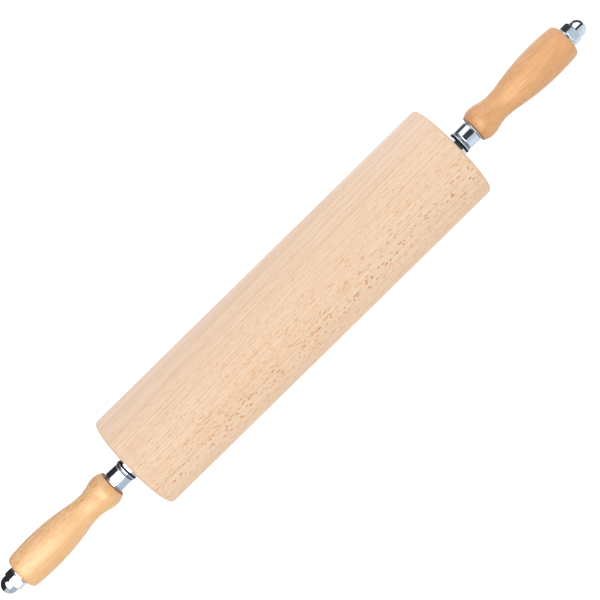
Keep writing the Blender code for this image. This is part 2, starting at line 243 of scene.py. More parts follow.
# %% A socket that can be used in sums
class Wire:
    """One output of a node, for use in sums."""

    def __init__(self, socket):
        self.socket = socket

    def work(self, operation, first, second):
        """Adds the Math or Vector Math node for an operation, and gives its result."""
        tree = self.socket.id_data
        sockets = [part.socket if isinstance(part, Wire) else part for part in (first, second)]
        vector = any(getattr(part, "type", "VALUE") == "VECTOR" for part in sockets)
        node = tree.nodes.new("ShaderNodeVectorMath" if vector else "ShaderNodeMath")
        node.operation = operation
        for place, part in zip(node.inputs, sockets):
            if isinstance(part, (int, float, tuple)):
                place.default_value = part
            else:
                tree.links.new(part, place)
        return Wire(node.outputs[0])

    def __add__(self, other):
        return self.work("ADD", self, other)

    def __sub__(self, other):
        return self.work("SUBTRACT", self, other)

    def __rsub__(self, other):
        return self.work("SUBTRACT", other, self)

    def __mul__(self, other):
        return self.work("MULTIPLY", self, other)

    def __truediv__(self, other):
        return self.work("DIVIDE", self, other)

    def __pow__(self, other):
        return self.work("POWER", self, other)

    __radd__ = __add__
    __rmul__ = __mul__


# %% A sheet on which nodes are drawn
class Sheet:
    """The node tree of one material or world."""

    def __init__(self, tree):
        self.tree = tree
        self.tree.nodes.clear()

    def add(self, kind, settings, sockets, out=0):
        """Adds a node, sets it up, fills or links its sockets, and gives one of its outputs."""
        node = self.tree.nodes.new(kind)
        for name, value in settings.items():
            setattr(node, name, value)
        for name, value in sockets.items():
            if isinstance(value, Wire):
                self.tree.links.new(value.socket, node.inputs[name])
            else:
                node.inputs[name].default_value = value
        return Wire(node.outputs[out]) if node.outputs else None

    def mixed(self, share, first, second):
        """Two colours mixed by share, from 0 for the first to 1 for the second.

        A Mix node that mixes colours takes them in its inputs 6 and 7, and gives its output 2.
        """
        pair = [value if isinstance(value, Wire) else (*value, 1) for value in (first, second)]
        sockets = {0: share, 6: pair[0], 7: pair[1]}
        return self.add("ShaderNodeMix", {"data_type": "RGBA"}, sockets, 2)

    def eased(self, value, start, stop, low=0.0, high=1.0):
        """A smooth step from low to high while value goes from start to stop."""
        settings = {"interpolation_type": "SMOOTHSTEP"}
        sockets = {
            "Value": value, "From Min": start, "From Max": stop, "To Min": low, "To Max": high,
        }
        return self.add("ShaderNodeMapRange", settings, sockets)

    def dot(self, first, second):
        """How far a vector reaches along a direction."""
        settings = {"operation": "DOT_PRODUCT"}
        return self.add("ShaderNodeVectorMath", settings, {0: first, 1: second}, "Value")

    def coordinates(self, kind):
        """The surface's own coordinates, such as Object, or its Normal."""
        return self.add("ShaderNodeTexCoord", {}, {}, kind)

    def noise(self, place, detail=2.0, roughness=0.5):
        """Soft noise from 0 to 1 that changes about once in each unit of place."""
        sockets = {"Vector": place, "Scale": 1.0, "Detail": detail, "Roughness": roughness}
        return self.add("ShaderNodeTexNoise", {}, sockets)

    def stretched(self, place, lengths):
        """Coordinates whose unit is this length, in metres, along each axis."""
        return place * tuple(1 / length for length in lengths)


# %% Start and end a material
def finish(name):
    """A new material and its empty sheet."""
    material = bpy.data.materials.new(name)
    material.use_nodes = True
    return material, Sheet(material.node_tree)


def surfaced(sheet, constants, linked):
    """Ends a sheet with one shader: constants are set on its sockets, and what varies is linked."""
    shader = sheet.add("ShaderNodeBsdfPrincipled", {}, {**constants, **linked})
    sheet.add("ShaderNodeOutputMaterial", {}, {"Surface": shader})


# %% [markdown]
# ## Beech
# Beech shows three things. Its rings are faint bands. Its fibres run along the board as fine
# streaks. And its rays, thin sheets of cells that run from the heart to the bark, show as small
# brown flecks. Where the surface faces along a ray we see only its edge, a faint short dash. As
# the surface turns to the ray's flat side the flecks grow stronger, and where it lies quite flat in
# the rays they are paler again.
# So we don't paint flecks on the roller. We build the tree in space: a distance along the trunk, a
# distance from its heart, and a distance round it. A Voronoi pattern in those three, stretched
# like real rays, is then cut by the turned surface, and the dashes appear where they should.

# %% Coordinates in the tree
HEART = 150 * MM


def tree_coordinates(sheet, facing, face, twist, slope, shift):
    """Along, round and out from the heart, and how much of a ray's flat side shows, from 0 to 1.

    The surface at face degrees from the top, towards +Y, lies nearly flat in the rays. The tree is
    twisted by twist radians a metre, as trees are, and the board was cut at this slope to the
    trunk. Shift is how far up the trunk the board was, in metres, so that no two are alike.
    """
    turn = math.radians(face)
    place = sheet.coordinates("Object") - (0.0, 0.0, AXIS)
    across_way = (0.0, math.sin(turn), math.cos(turn))
    outward_way = (0.0, math.cos(turn), -math.sin(turn))
    along = sheet.dot(place, (1.0, 0.0, 0.0))
    across = sheet.dot(place, across_way)
    outward = sheet.dot(place, outward_way)
    twisted = along * twist
    round_part = across + outward * twisted + along * slope
    out_part = outward - across * twisted + HEART
    distance = (round_part ** 2 + out_part ** 2) ** 0.5
    angle = sheet.add("ShaderNodeMath", {"operation": "ARCTAN2"}, {0: round_part, 1: out_part})
    sockets = {0: along + shift, 1: angle * HEART, 2: distance}
    tree = sheet.add("ShaderNodeCombineXYZ", {}, sockets)
    faced = sheet.dot(facing, across_way) * out_part - sheet.dot(facing, outward_way) * round_part
    return tree, (faced / distance) ** 2


# %% Rays
SWAY_SIZE = (9 * MM, 5 * MM, 30 * MM)
SWAY = 0.5 * MM
SOFT_EDGE = (-0.01, 0.05)


def rays(sheet, tree, room, reach, share):
    """Flecks where rays come out of the surface.

    Room is the room that each ray has, along, round and outward. Reach is a ray's half size as a
    share of that room, and share says how many of the rays show.
    """
    sway = sheet.noise(sheet.stretched(tree, SWAY_SIZE), 1.0) - 0.5
    bent = tree + sheet.add("ShaderNodeCombineXYZ", {}, {0: 0.0, 1: sway * SWAY, 2: 0.0})
    settings = {"voronoi_dimensions": "3D", "feature": "F1"}
    sockets = {"Vector": sheet.stretched(bent, room), "Scale": 1.0}
    distance = sheet.add("ShaderNodeTexVoronoi", settings, sockets, "Distance")
    middle = Wire(distance.socket.node.outputs["Position"])
    settings = {"noise_dimensions": "3D"}
    chance = sheet.add("ShaderNodeTexWhiteNoise", settings, {"Vector": middle}, "Value")
    size = sheet.eased(chance, 1 - share, 1.0, 0.0, reach)
    return sheet.eased(size - distance, *SOFT_EDGE)


# %% Rings
DRIFT_SIZE = (180 * MM, 14 * MM, 25 * MM)


def year_rings(sheet, tree, width, wander, detail):
    """Bands round the heart of the tree, each about this wide, which wander by this much."""
    distance = sheet.add("ShaderNodeSeparateXYZ", {}, {0: tree}, "Z")
    drift = sheet.noise(sheet.stretched(tree, DRIFT_SIZE), 2.0)
    sockets = {"W": (distance + drift * wander) / width, "Scale": 1.0, "Detail": detail}
    return sheet.add("ShaderNodeTexNoise", {"noise_dimensions": "1D"}, sockets)


# %% [markdown]
# Lacquer changes what wood shows. On a sanded roller the fine lines run a hand's width and more,
# the rings show, and each broad fleck is a small pit. Lacquer fills the pits and soaks into the
# fibres, which makes short soft streaks of them. So the figure has two recipes, and every number
# in them says how strongly something shows, or how long, wide and deep one streak of it is.

# %% The figure of bare and of lacquered wood
BARE = {
    "line size": (240 * MM, 0.65 * MM, 0.8 * MM), "lines": 2.0,
    "fibre size": (22 * MM, 0.6 * MM, 0.6 * MM), "fibres": 1.5,
    "rings": 0.9, "patches": 0.4,
    "broadside": 0.58, "flat": 0.52, "narrow flecks": 1.0,
    "pits": 0.5, "relief": 0.12,
}
LACQUERED = {
    "line size": (60 * MM, 0.65 * MM, 3.0 * MM), "lines": 1.9,
    "fibre size": (14 * MM, 0.6 * MM, 2.0 * MM), "fibres": 2.1,
    "rings": 0.3, "patches": 0.2,
    "broadside": 0.8, "flat": 0.1, "narrow flecks": 0.5,
    "pits": 0.0, "relief": 0.02,
}
BROAD_ROOM, BROAD_REACH = (7.8 * MM, 0.37 * MM, 3.0 * MM), 0.35
NARROW_ROOM, NARROW_REACH, NARROW_SHARE = (5.4 * MM, 0.23 * MM, 2.4 * MM), 0.38, 0.95
NARROW_SHIFT = (0.31, 0.17, 0.0)
LIES_FLAT = (0.91, 0.98)


def flecked(sheet, tree, broadside, figure, fleck_share):
    """The strength of the broad flecks and of the narrow ones."""
    flat = sheet.eased(broadside, *LIES_FLAT)
    broad = rays(sheet, tree, BROAD_ROOM, BROAD_REACH, fleck_share)
    broad = broad * (0.34 + broadside * figure["broadside"] - flat * figure["flat"])
    narrow = rays(sheet, tree + NARROW_SHIFT, NARROW_ROOM, NARROW_REACH, NARROW_SHARE)
    narrow = narrow * (0.15 + broadside ** 2 * 0.5 + flat * 0.3) * figure["narrow flecks"]
    return broad, narrow


# %% Shades along the board and across its ends
PATCH_SIZE = (110 * MM, 20 * MM, 24 * MM)
SPOKE_SIZE = (60 * MM, 0.7 * MM, 7 * MM)


def long_shade(sheet, tree, fibres, figure):
    """How much of the rings' colour the long grain takes."""
    rings = year_rings(sheet, tree, 1.0 * MM, 4 * MM, 1.0)
    lines = sheet.noise(sheet.stretched(tree, figure["line size"]), 1.0, 0.6)
    patches = sheet.noise(sheet.stretched(tree, PATCH_SIZE), 2.0)
    fine = (lines - 0.5) * figure["lines"] + (fibres - 0.5) * figure["fibres"]
    return (rings - 0.5) * figure["rings"] + fine + (patches - 0.5) * figure["patches"] + 0.35


def end_shade(sheet, tree):
    """How dark a sawn end is: arcs of years, with the rays as spokes across them."""
    years = year_rings(sheet, tree, 1.8 * MM, 5 * MM, 2.0)
    spokes = sheet.noise(sheet.stretched(tree, SPOKE_SIZE), 2.0, 0.6)
    return (years - 0.5) * 2.4 + (spokes - 0.5) * 1.8 + 0.45


# %% Beech as a material
END_STARTS, END_FULL = 0.15, 0.9
GRAIN_RELIEF = 0.2 * MM


def beech(name, board, colours, fleck_share, figure, shader):
    """Beech, bare or lacquered, from a board that was cut in this way."""
    material, sheet = finish(name)
    facing = sheet.coordinates("Normal")
    tree, broadside = tree_coordinates(sheet, facing, **board)
    fibres = sheet.noise(sheet.stretched(tree, figure["fibre size"]), 2.0, 0.6)
    broad, narrow = flecked(sheet, tree, broadside, figure, fleck_share)
    shade = long_shade(sheet, tree, fibres, figure)
    colour = sheet.mixed(shade, colours["pale"], colours["ring"])
    colour = sheet.mixed(narrow, colour, colours["fleck"])
    colour = sheet.mixed(broad, colour, colours["fleck"])
    endways = sheet.dot(facing, (1.0, 0.0, 0.0)) ** 2
    end_part = sheet.eased(endways, END_STARTS, END_FULL)
    dark_end = tuple(value * 0.7 for value in colours["end"])
    end_colour = sheet.mixed(end_shade(sheet, tree), colours["end"], dark_end)
    relief = (fibres - 0.5) * 0.5 - broad * figure["pits"]
    sockets = {"Strength": figure["relief"], "Distance": GRAIN_RELIEF, "Height": relief}
    linked = {
        "Base Color": sheet.mixed(end_part * 0.9, colour, end_colour),
        "Roughness": fibres * 0.10 + shader["Roughness"] - 0.05,
        "Normal": sheet.add("ShaderNodeBump", {}, sockets),
    }
    if "Coat Weight" in shader:
        linked["Coat Weight"] = (1 - end_part) * shader["Coat Weight"]
    constants = {name: value for name, value in shader.items() if name not in linked}
    surfaced(sheet, constants, linked)
    return material


# %% [markdown]
# The roller is pale and matt. The two handles came from different boards: the left one is yellow
# and still glossy, and the right one is redder and worn. Lacquer is a coat over the wood. The end
# grain drinks it up, so the coat stops there and the wood turns dark. On the handles the end colour
# is darker still, which is painted shade on their end faces, as in the narrow gap by the ferrule.

# %% The roller's beech
SANDED = {
    "Roughness": 0.62, "Specular IOR Level": 0.15, "Sheen Weight": 0.4, "Sheen Roughness": 0.3,
}
raw_beech = beech(
    "raw_beech",
    {"face": -21.8, "twist": 0.53, "slope": 0.0, "shift": 0.0},
    {
        "pale": (0.825, 0.652, 0.492), "ring": (0.725, 0.50, 0.31),
        "fleck": (0.61, 0.24, 0.06), "end": (0.60, 0.41, 0.27),
    },
    0.8, BARE, SANDED,
)
print("raw beech:", len(raw_beech.node_tree.nodes), "nodes")

# %% The handles' beech
FRESH_LACQUER = {
    "Roughness": 0.42, "Coat Weight": 0.9, "Coat Roughness": 0.4, "Coat IOR": 1.6,
    "Sheen Weight": 0.3, "Sheen Roughness": 0.35, "Sheen Tint": (1.0, 0.72, 0.45, 1.0),
}
WORN_LACQUER = {
    "Roughness": 0.5, "Coat Weight": 0.5, "Coat Roughness": 0.38,
    "Sheen Weight": 0.6, "Sheen Roughness": 0.3,
}
# The handles' end colours are partly dark end grain and partly painted shade on their end faces.
left_beech = beech(
    "left_lacquered_beech",
    {"face": 56, "twist": 0.0, "slope": 0.0, "shift": 0.4},
    {
        "pale": (0.885, 0.556, 0.260), "ring": (0.73, 0.39, 0.14),
        "fleck": (0.70, 0.27, 0.055), "end": (0.30, 0.14, 0.06),
    },
    0.75, LACQUERED, FRESH_LACQUER,
)
right_beech = beech(
    "right_lacquered_beech",
    {"face": 92, "twist": 0.0, "slope": 0.05, "shift": 0.9},
    {
        "pale": (0.77, 0.425, 0.188), "ring": (0.57, 0.275, 0.10),
        "fleck": (0.50, 0.21, 0.065), "end": (0.34, 0.16, 0.07),
    },
    0.6, LACQUERED, WORN_LACQUER,
)
print("lacquered beech:", len(left_beech.node_tree.nodes), "nodes in each of 2 finishes")

# %% [markdown]
# ## Metal and rubber
# Chrome is a mirror that has been wiped many times: nearly smooth, a little blue, with hair
# scratches round the piece. Turned steel keeps the fine grooves of the tool, so its light spreads
# more. Bearing steel is ground and sits between the two. The spacer washer is a darker, blue-grey
# steel with less shine.
# Rubber is the opposite of all of them, dark and matt.

# %% Metals
SMEAR_SIZE = (9 * MM, 7 * MM, 7 * MM)
GROOVE_LENGTH = 8 * MM


def metal(name, colour, roughness, groove, depth):
    """Metal with fine grooves round the axis: groove is how wide they are, depth how strong."""
    material, sheet = finish(name)
    place = sheet.coordinates("Object")
    groove_size = (groove, GROOVE_LENGTH, GROOVE_LENGTH)
    grooves = sheet.noise(sheet.stretched(place, groove_size), 4.0, 0.7)
    smears = sheet.noise(sheet.stretched(place, SMEAR_SIZE), 3.0)
    tint = sheet.mixed(smears, tuple(value * 0.94 for value in colour), colour)
    sockets = {"Strength": depth, "Distance": 0.02 * MM, "Height": grooves}
    bump = sheet.add("ShaderNodeBump", {}, sockets)
    rough = roughness + (smears - 0.5) * roughness * 0.7 + (grooves - 0.5) * roughness * 0.5
    surfaced(sheet, {"Metallic": 1.0}, {"Base Color": tint, "Roughness": rough, "Normal": bump})
    return material


chrome = metal("chrome", (0.84, 0.87, 0.91), 0.07, 0.12 * MM, 0.03)
turned_steel = metal("turned_steel", (0.56, 0.56, 0.58), 0.34, 0.25 * MM, 0.35)
bearing_steel = metal("bearing_steel", (0.66, 0.66, 0.68), 0.2, 0.1 * MM, 0.12)
# The spacer washer's steel: darker and bluer than the chrome, with less shine.
dark_steel = metal("dark_steel", (0.27, 0.30, 0.38), 0.3, 0.12 * MM, 0.1)
print("metal:", len(chrome.node_tree.nodes), "nodes in each of 4 finishes")

# %% Rubber
black_rubber, sheet = finish("black_rubber")
DUST_SIZE = 1.2 * MM
dust = sheet.noise(sheet.stretched(sheet.coordinates("Object"), (DUST_SIZE,) * 3), 4.0)
colour = sheet.mixed(dust, (0.012, 0.012, 0.013), (0.03, 0.03, 0.032))
bump = sheet.add("ShaderNodeBump", {}, {"Strength": 0.3, "Distance": 0.05 * MM, "Height": dust})
surfaced(
    sheet,
    {"Specular IOR Level": 0.4},
    {"Base Color": colour, "Roughness": 0.55 + dust * 0.2, "Normal": bump},
)
print("rubber:", len(black_rubber.node_tree.nodes), "nodes")

# %% [markdown]
# ## The roller
# The roller is the working piece: a beech cylinder, turned, sanded and left raw so that flour
# holds on it. Each end is bored for the axle and counterbored for a steel cup. The edge is rounded
# so that it doesn't cut the dough.
# We sweep the whole section, bore and all, so that the ends look right from the side too.

# %% Turn the roller
POCKET_RADIUS = 17 * MM
POCKET_DEPTH = 11.75 * MM
BORE_RADIUS = 9 * MM
POCKET_EDGE = 0.5 * MM
ROLLER_EDGE = 4.2 * MM
upper = [
    (BORE_RADIUS, ROLLER_END - POCKET_DEPTH, 0),
    (POCKET_RADIUS, ROLLER_END - POCKET_DEPTH, 0),
    (POCKET_RADIUS, ROLLER_END, POCKET_EDGE),
    (ROLLER_RADIUS, ROLLER_END, ROLLER_EDGE),
]
lower = [(radius, -height, rounding) for radius, height, rounding in reversed(upper)]
mesh = swept("roller", softened(upper + lower), 288)
fitted("roller", mesh, "roller", raw_beech, 0)
print("roller:", len(mesh.polygons), "faces")

# %% [markdown]
# ## The handles
# Each handle swells to a bulb by the ferrule, where the thumb rests, draws in to a waist, and
# swells again to a long grip with a rounded heel. Such a line has no straight part, so a few
# measured radii with a flowing line through them say it better than arcs would. The heel and the
# mouth are small rounded edges at the ends of that line.

# %% Turn the handles
# Each pair is a distance from the mouth and the radius there, in millimetres.
HANDLE_LINE = [
    (1.4, 14.2), (3.8, 15.25), (6.8, 16.03), (9.8, 16.22), (14.3, 15.78),
    (19.8, 14.36), (25.8, 13.2), (29.3, 13.0), (36.8, 13.45), (44.8, 14.74),
    (53.8, 16.22), (63.8, 17.45), (73.8, 18.27), (83.8, 18.68), (89.8, 18.74),
    (96.8, 18.6), (104.8, 18.16), (110.3, 17.7), (112.6, 17.2), (113.9, 16.35),
]
MOUTH = [(0.0, 13.2), (0.35, 13.75)]
HANDLE_BORE = 5 * MM
for side, look in (("left", left_beech), ("right", right_beech)):
    start, stop, _ = room(f"{side}_handle")
    length = (stop - start) / MM
    heel = [(length - 0.1, 15.4), (length, 14.6)]
    outside = MOUTH + flowing(HANDLE_LINE, 5) + heel
    outline = [(radius * MM, height * MM) for height, radius in reversed(outside)]
    outline += [(HANDLE_BORE, 0.0), (HANDLE_BORE, stop - start)]
    mesh = swept(f"{side}_handle", outline, 144)
    fitted(f"{side}_handle", mesh, "axle", look, start)
print("handles:", len(mesh.polygons), "faces each")

# %% [markdown]
# ## The metal at the neck
# Between the roller and each handle sits a stack: a lock nut, a black rubber washer, two bright
# washers, a chromed ferrule and one more washer. A washer is a ring with its edges broken. The
# ferrule is a tube that widens a little towards the handle, with its rims rolled round.

# %% Turn the washers
RING_STEPS = 128
RING_BORE = 5 * MM
WASHERS = {
    "rubber_washer": ("black_rubber", black_rubber, 0.3 * MM),
    "hub_washer": ("chrome", chrome, 0.45 * MM),
    "spacer_washer": ("chrome", dark_steel, 0.45 * MM),
    "handle_washer": ("chrome", chrome, 0.35 * MM),
    "end_washer": ("chrome", chrome, 0.5 * MM),
}
for side in SIDES:
    for name, (slot, look, edge) in WASHERS.items():
        node = f"{side}_{name}"
        start, stop, radius = room(node)
        thickness = stop - start
        corners = [
            (RING_BORE, 0, 0), (RING_BORE, thickness, 0),
            (radius, thickness, edge), (radius, 0, edge),
        ]
        mesh = swept(node, softened(corners), RING_STEPS)
        fitted(node, mesh, "axle", look, start)
print("washers:", len(mesh.polygons), "faces each")

# %% Turn the ferrules
FERRULE_WALL = 1.5 * MM
FERRULE_FLARE = 0.4 * MM
INNER_RIM = 0.3 * MM
HANDLE_RIM = 1.1 * MM
ROLLER_RIM = 0.9 * MM
for side in SIDES:
    node = f"{side}_ferrule"
    start, stop, wide = room(node)
    length = stop - start
    narrow = wide - FERRULE_FLARE
    corners = [
        (narrow - FERRULE_WALL, 0, INNER_RIM), (wide - FERRULE_WALL, length, INNER_RIM),
        (wide, length, HANDLE_RIM), (narrow, 0, ROLLER_RIM),
    ]
    mesh = swept(node, softened(corners), RING_STEPS)
    fitted(node, mesh, "axle", chrome, start)
print("ferrules:", len(mesh.polygons), "faces each")

# %% [markdown]
# ## The nuts
# A nut starts as hexagon bar. The lathe faces it and chamfers its corners at thirty degrees, which
# leaves a curved edge on each flat, and a cap nut has a dome as well. Here the turned outline is
# drawn a little wider than the corners, and the hexagon limits it. The curved edges then come by
# themselves.

# %% The flats and the chamfer of a nut
NUT_STEPS = 240
HEX_FLATS = 18.4 * MM
HEX_CORNER = HEX_FLATS / math.sqrt(3)
CHAMFER_CIRCLE = 8.95 * MM
CHAMFER_SLOPE = math.tan(math.radians(30))
CHAMFER_STEPS = 14
THREAD_RADIUS = 5 * MM
COUNTERSINK = 0.6 * MM
EDGE_BLEND = 0.45 * MM
FLAT_UP = 90


def hexagonal(radius, angle):
    """The turned radius, limited by the nut's six flats."""
    if radius < CHAMFER_CIRCLE - EDGE_BLEND:
        return radius
    flat_side = hexagon_radius(angle, HEX_FLATS, EDGE_BLEND)
    return blended_minimum(radius, flat_side, EDGE_BLEND)


def chamfer(height, way):
    """Points from the face at this height out to the corners.

    Way is 1 if the flats are above the face, and -1 if they are below it.
    """
    points = []
    for step in range(CHAMFER_STEPS + 1):
        out = (HEX_CORNER + EDGE_BLEND - CHAMFER_CIRCLE) * step / CHAMFER_STEPS
        points.append((CHAMFER_CIRCLE + out, height + way * out * CHAMFER_SLOPE))
    return points


# %% The lock nuts
# A nut stops turning where it is tight, so each one stands at an angle of its own, in degrees.
LOCK_TURN = {"left": -3, "right": 4}
for side in SIDES:
    node = f"{side}_lock_nut"
    start, stop, _ = room(node)
    height = stop - start
    outline = [(THREAD_RADIUS + COUNTERSINK, height)] + chamfer(height, -1)
    outline += list(reversed(chamfer(0, 1))) + [(THREAD_RADIUS + COUNTERSINK, 0)]
    outline += [(THREAD_RADIUS, COUNTERSINK), (THREAD_RADIUS, height - COUNTERSINK)]
    mesh = swept(node, outline, NUT_STEPS, hexagonal)
    turn = math.radians(FLAT_UP + LOCK_TURN[side])
    fitted(node, mesh, "axle", chrome, start, turn)
print("lock nuts:", len(mesh.polygons), "faces each")

# %% The cap nuts
CAP_TURN = {"left": 15, "right": 10.5}
HEX_HEIGHT = 8.6 * MM
DOME_RADIUS = 8.7 * MM
CAP_BORE_DEPTH = 15 * MM
NECK = [(DOME_RADIUS, HEX_HEIGHT + 0.25 * MM), (DOME_RADIUS + 0.08 * MM, HEX_HEIGHT + 0.06 * MM)]
for side in SIDES:
    node = f"{side}_cap_nut"
    start, stop, _ = room(node)
    centre = stop - start - DOME_RADIUS
    outline = []
    for degrees in range(0, 91, 5):
        fall = math.radians(degrees)
        outline.append((DOME_RADIUS * math.sin(fall), centre + DOME_RADIUS * math.cos(fall)))
    outline += NECK + chamfer(HEX_HEIGHT, -1) + list(reversed(chamfer(0, 1)))
    outline += [(THREAD_RADIUS + COUNTERSINK, 0), (THREAD_RADIUS, COUNTERSINK)]
    outline += [(THREAD_RADIUS, CAP_BORE_DEPTH), (0, CAP_BORE_DEPTH)]
    mesh = swept(node, outline, NUT_STEPS, hexagonal)
    turn = math.radians(FLAT_UP + CAP_TURN[side])
    fitted(node, mesh, "axle", chrome, start, turn)
print("cap nuts:", len(mesh.polygons), "faces each")

# %% [markdown]
# ## The bearings
# Look along the pin and the bearing shows inside the end of the roller: the rim of a pressed cup,
# the outer race with its thin shield, and the inner race round the axle. The balls and their cage
# are sealed behind the shields. The cage and the axle keep their solids, with a finish of their
# own.

# %% Press the cups
CUP_HOLE = 10 * MM
CUP_FLOOR = 1.5 * MM
CUP_INSIDE = 15.25 * MM
for side in SIDES:
    node = f"{side}_bearing_cup"
    start, stop, wide = room(node)
    depth = stop - start
    corners = [
        (CUP_HOLE, 0, 0.2 * MM), (CUP_HOLE, CUP_FLOOR, 0.2 * MM),
        (CUP_INSIDE, CUP_FLOOR, 0.4 * MM), (CUP_INSIDE, depth, 0.4 * MM),
        (wide, depth, 0.6 * MM), (wide, 0, 1.4 * MM),
    ]
    mesh = swept(node, softened(corners), RING_STEPS)
    fitted(node, mesh, "roller", turned_steel, start)
print("cups:", len(mesh.polygons), "faces each")

# %% Grind the races
BALL_CIRCLE_RADIUS = 10 * MM
GROOVE_RADIUS = 2.531 * MM
OUTER_SHOULDER = 12 * MM
SHIELD_SEAT = 12.6 * MM
SEAT_DEPTH = 0.85 * MM
RACE_BORE = 5 * MM
INNER_SHOULDER = 8.2 * MM


def groove(way, width, half_angle):
    """Corners along the balls' groove: way is 1 in the outer race and -1 in the inner one.

    Half_angle is how far the groove reaches to each side of its middle, in tenths of a radian.
    """
    corners = []
    for step in range(-half_angle, half_angle + 1):
        angle = step / 10
        radius = BALL_CIRCLE_RADIUS + way * GROOVE_RADIUS * math.cos(angle)
        corners.append((radius, width / 2 + GROOVE_RADIUS * math.sin(angle), 0))
    return corners


for side in SIDES:
    node = f"{side}_bearing_outer_race"
    start, stop, wide = room(node)
    width = stop - start
    corners = [
        (SHIELD_SEAT, 0, 0), (SHIELD_SEAT, SEAT_DEPTH, 0), (OUTER_SHOULDER, SEAT_DEPTH, 0),
        *groove(1, width, 6),
        (OUTER_SHOULDER, width - SEAT_DEPTH, 0), (SHIELD_SEAT, width - SEAT_DEPTH, 0),
        (SHIELD_SEAT, width, 0.1 * MM), (wide, width, 0.6 * MM), (wide, 0, 0.6 * MM),
    ]
    mesh = swept(node, softened(corners), RING_STEPS)
    fitted(node, mesh, "roller", bearing_steel, start)

    node = f"{side}_bearing_inner_race"
    start, stop, _ = room(node)
    width = stop - start
    corners = [
        (RACE_BORE, 0, 0.5 * MM), (INNER_SHOULDER, 0, 0.15 * MM),
        *groove(-1, width, 7),
        (INNER_SHOULDER, width, 0.15 * MM), (RACE_BORE, width, 0.5 * MM),
    ]
    mesh = swept(node, softened(corners), RING_STEPS)
    fitted(node, mesh, "axle", bearing_steel, start)
print("races:", len(mesh.polygons), "faces in each inner one")

# %% Stamp the shields
SHIELD_HOLE = 8.8 * MM
SHIELD_EDGE = 0.1 * MM
for side in SIDES:
    for name in ("outer", "inner"):
        node = f"{side}_bearing_{name}_shield"
        start, stop, wide = room(node)
        thickness = stop - start
        corners = [
            (SHIELD_HOLE, 0, SHIELD_EDGE), (SHIELD_HOLE, thickness, SHIELD_EDGE),
            (wide, thickness, SHIELD_EDGE), (wide, 0, SHIELD_EDGE),
        ]
        mesh = swept(node, softened(corners), RING_STEPS)
        fitted(node, mesh, "roller", bearing_steel, start)
print("shields:", len(mesh.polygons), "faces each")

# %% The balls
for side in SIDES:
    for number in range(1, 9):
        node = f"{side}_bearing_ball_{number}"
        low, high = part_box(node)
        middle = (Vector(low) + Vector(high)) / 2
        shape = bmesh.new()
        bmesh.ops.create_icosphere(shape, subdivisions=4, radius=(high[0] - low[0]) / 2)
        bmesh.ops.translate(shape, vec=middle, verts=shape.verts)
        mesh = bpy.data.meshes.new(node)
        shape.to_mesh(mesh)
        shape.free()
        mesh.shade_smooth()
        dressed_piece(node, mesh, f"{side}_cage", bearing_steel)
print("balls:", len(mesh.polygons), "faces each")

# %% The finish of the solids that stay
KEPT_SOLIDS = ("axle_rod", "left_bearing_cage", "right_bearing_cage")
for name in KEPT_SOLIDS:
    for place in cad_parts[name].material_slots:
        place.material = turned_steel
print("pieces:", len(dressed), "new and", len(KEPT_SOLIDS), "kept")

# %% [markdown]
# ## The studio
# A catalogue picture of a pin is taken from straight above on a white sweep, with big soft lights.
# Wood wants even light. Chrome wants something dark to reflect, or it looks like plaster, so a
# photographer leaves a dark gap between the lights. The floor is white to the camera. To other
# rays it glows, as painted light on the wood: warmer and dimmer on the near side, and cooler on
# the far side.

# %% The floor
floor_finish, sheet = finish("floor")
place = sheet.coordinates("Object")
mottle = sheet.noise(sheet.stretched(place, (0.3, 0.3, 0.3)), 2.0)
floor_colour = sheet.mixed(mottle, (0.80, 0.80, 0.80), (0.82, 0.82, 0.82))
across = sheet.dot(place, (0.0, 1.0, 0.0))
# Painted light: to every ray but the camera's the floor glows, dim and warm on the near side and
# bright and cool on the far side.
floor_glow = sheet.mixed(sheet.eased(across, -0.12, 0.08), (0.22, 0.18, 0.16), (0.76, 0.95, 1.3))
seen = sheet.add("ShaderNodeLightPath", {}, {}, "Is Camera Ray")
surfaced(
    sheet,
    {"Roughness": 0.9, "Specular IOR Level": 0.0, "Emission Strength": 0.6},
    {"Base Color": floor_colour, "Emission Color": sheet.mixed(seen, floor_glow, (1.0, 1.0, 1.0))},
)
bpy.ops.mesh.primitive_plane_add(size=12)
floor = bpy.context.object
floor.name = "floor"
floor.visible_glossy = False
floor.data.materials.append(floor_finish)
print("floor:", round(floor.dimensions.x, 1), "m wide")

# %% [markdown]
# ## What the chrome sees
# The chrome in the picture tells what stood round it. Towards the left end and up there is a big
# bright box, with open white above the far side. Low on the far side it is dark. Above the right
# end two dark patches overlap, with a boom going off to the right, and the near side is an even
# blue-grey. We paint that as a sky, for reflections only. Matt things see a plain pale one.
# A way in this sky has three parts: x to the right end, y to the far side, and z up.

# %% A sheet for the sky, and the ways in it
world = bpy.data.worlds.new("studio")
bpy.context.scene.world = world
world.use_nodes = True
sheet = Sheet(world.node_tree)
way = sheet.coordinates("Generated")
x, y, z = (sheet.dot(way, axis) for axis in ((1.0, 0.0, 0.0), (0.0, 1.0, 0.0), (0.0, 0.0, 1.0)))
right_part = sheet.eased(x, -0.05, 0.06)
near = sheet.eased(y - right_part * 0.42, -0.5, -0.62)

# %% The dark walls, with a strip of lit floor in front
left_end = sheet.eased(x, -0.3, -0.7)
wall_top = x * 0.351 - y * 0.515 + z + right_part * 0.5 - left_end * 0.4
far_wall = sheet.eased(wall_top, 0.04, -0.04) * sheet.eased(y, -0.1, 0.0)
right_wall = sheet.eased(x, 0.22, 0.3) * sheet.eased(y, 0.0, 0.1) * sheet.eased(z, 0.3, 0.2)
strip_top = z + sheet.eased(x, 0.2, 0.35) * 0.2
strip = sheet.eased(x, 0.108, 0.118) * sheet.eased(strip_top, -0.25, -0.33)
walls = (1 - (1 - far_wall) * (1 - right_wall)) * (1 - strip)


